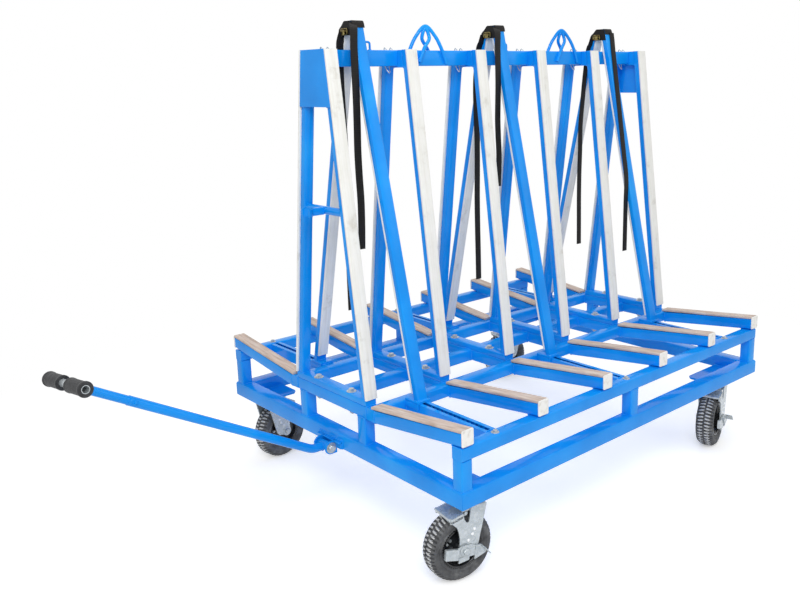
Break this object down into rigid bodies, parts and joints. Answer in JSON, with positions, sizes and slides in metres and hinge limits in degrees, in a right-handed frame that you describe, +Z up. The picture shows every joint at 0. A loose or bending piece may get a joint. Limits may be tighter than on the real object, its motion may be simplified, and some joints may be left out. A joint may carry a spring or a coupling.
{
  "type": "sheet goods cart",
  "caption": "Sheet goods cart with a double-sided A-frame rack, padded lean posts and arms, sliding clamp poles with straps, a T-handle tow bar and swivel castors.",
  "frame": {"origin": "on the floor under the middle of the whole box, tow bar included", "axes": "+X along the cart away from the tow bar, +Z up, the front side at -Y"},
  "size_m": [2.3974, 1.254, 1.5933],
  "materials": {
    "blue_paint": "gloss blue powder coat on welded steel tube",
    "cream_pad": "matt cream rubber strip",
    "zinc": "bright zinc plate",
    "tyre": "matt dark grey tyre rubber",
    "rim": "black enamel on pressed steel",
    "grip": "black ribbed grip",
    "webbing": "black woven webbing"
  },
  "bodies": {
    "cart": {"bottom_frame": "blue_paint", "end_trestle_near": "blue_paint", "end_trestle_far": "blue_paint", "deck_spine": "blue_paint", "side_frame_front": "blue_paint", "track_frame_front": "blue_paint", "side_frame_back": "blue_paint", "track_frame_back": "blue_paint", "a_frame_1": "blue_paint", "a_frame_2": "blue_paint", "a_frame_3": "blue_paint", "a_frame_4": "blue_paint", "a_frame_5": "blue_paint", "a_frame_6": "blue_paint", "pad_front_1": "cream_pad", "pad_front_2": "cream_pad", "pad_front_3": "cream_pad", "pad_front_4": "cream_pad", "pad_front_5": "cream_pad", "pad_front_6": "cream_pad", "pad_back_1": "cream_pad", "pad_back_2": "cream_pad", "pad_back_3": "cream_pad", "pad_back_4": "cream_pad", "pad_back_5": "cream_pad", "pad_back_6": "cream_pad", "top_rail": "blue_paint", "lifting_crown_near": "blue_paint", "lifting_crown_far": "blue_paint", "tie_loop_1": "blue_paint", "tie_loop_2": "blue_paint", "tie_loop_3": "blue_paint", "hitch_bracket": "blue_paint", "hitch_pin": "zinc"},
    "pole_front_1": {"clamp_pole_front_1": "blue_paint", "strap_1": "webbing"},
    "pole_front_2": {"clamp_pole_front_2": "blue_paint", "strap_2": "webbing"},
    "pole_front_3": {"clamp_pole_front_3": "blue_paint", "strap_3": "webbing"},
    "pole_back_1": {"clamp_pole_back_1": "blue_paint"},
    "pole_back_2": {"clamp_pole_back_2": "blue_paint"},
    "pole_back_3": {"clamp_pole_back_3": "blue_paint"},
    "castor_near_front": {"castor_fork_near_front": "zinc"},
    "castor_near_back": {"castor_fork_near_back": "zinc"},
    "castor_far_front": {"castor_fork_far_front": "zinc"},
    "castor_far_back": {"castor_fork_far_back": "zinc"},
    "wheel_near_front": {"tyre_near_front": "tyre", "rim_near_front": "rim"},
    "wheel_near_back": {"tyre_near_back": "tyre", "rim_near_back": "rim"},
    "wheel_far_front": {"tyre_far_front": "tyre", "rim_far_front": "rim"},
    "wheel_far_back": {"tyre_far_back": "tyre", "rim_far_back": "rim"},
    "brake_near_front": {"brake_pedal_near_front": "zinc"},
    "brake_far_front": {"brake_pedal_far_front": "zinc"},
    "tow_bar": {"tow_bar": "blue_paint", "grip_front": "grip", "grip_back": "grip"}
  },
  "joints": [
    {"name": "pole_front_1_slide", "type": "slide", "parent": "cart", "child": "pole_front_1", "axis": [0, -1, 0], "range_m": [0, 0.28]},
    {"name": "pole_front_2_slide", "type": "slide", "parent": "cart", "child": "pole_front_2", "axis": [0, -1, 0], "range_m": [0, 0.28]},
    {"name": "pole_front_3_slide", "type": "slide", "parent": "cart", "child": "pole_front_3", "axis": [0, -1, 0], "range_m": [0, 0.28]},
    {"name": "pole_back_1_slide", "type": "slide", "parent": "cart", "child": "pole_back_1", "axis": [0, 1, 0], "range_m": [0, 0.28]},
    {"name": "pole_back_2_slide", "type": "slide", "parent": "cart", "child": "pole_back_2", "axis": [0, 1, 0], "range_m": [0, 0.28]},
    {"name": "pole_back_3_slide", "type": "slide", "parent": "cart", "child": "pole_back_3", "axis": [0, 1, 0], "range_m": [0, 0.28]},
    {"name": "castor_near_front_swivel", "type": "hinge", "parent": "cart", "child": "castor_near_front", "pos_m": [-0.28827, -0.547, 0.24], "axis": [0, 0, 1], "continuous": true},
    {"name": "castor_near_back_swivel", "type": "hinge", "parent": "cart", "child": "castor_near_back", "pos_m": [-0.28827, 0.547, 0.24], "axis": [0, 0, 1], "continuous": true},
    {"name": "castor_far_front_swivel", "type": "hinge", "parent": "cart", "child": "castor_far_front", "pos_m": [1.03373, -0.547, 0.24], "axis": [0, 0, 1], "continuous": true},
    {"name": "castor_far_back_swivel", "type": "hinge", "parent": "cart", "child": "castor_far_back", "pos_m": [1.03373, 0.547, 0.24], "axis": [0, 0, 1], "continuous": true},
    {"name": "wheel_near_front_spin", "type": "hinge", "parent": "castor_near_front", "child": "wheel_near_front", "pos_m": [-0.32557, -0.53975, 0.105], "axis": [0.1908, 0.9816, 0], "continuous": true},
    {"name": "wheel_near_back_spin", "type": "hinge", "parent": "castor_near_back", "child": "wheel_near_back", "pos_m": [-0.25064, 0.55229, 0.105], "axis": [0.1392, -0.9903, 0], "continuous": true},
    {"name": "wheel_far_front_spin", "type": "hinge", "parent": "castor_far_front", "child": "wheel_far_front", "pos_m": [0.99739, -0.55811, 0.105], "axis": [-0.2924, 0.9563, 0], "continuous": true},
    {"name": "wheel_far_back_spin", "type": "hinge", "parent": "castor_far_back", "child": "wheel_far_back", "pos_m": [0.99702, 0.55683, 0.105], "axis": [0.2588, 0.9659, 0], "continuous": true},
    {"name": "brake_near_front_press", "type": "hinge", "parent": "castor_near_front", "child": "brake_near_front", "pos_m": [-0.32557, -0.53975, 0.105], "axis": [0.1908, 0.9816, 0], "range_deg": [0, 12]},
    {"name": "brake_far_front_press", "type": "hinge", "parent": "castor_far_front", "child": "brake_far_front", "pos_m": [0.99739, -0.55811, 0.105], "axis": [-0.2924, 0.9563, 0], "range_deg": [0, 12]},
    {"name": "tow_bar_lift", "type": "hinge", "parent": "cart", "child": "tow_bar", "pos_m": [-0.40527, 0, 0.2625], "axis": [0, 1, 0], "range_deg": [0, 60.1]}
  ]
}
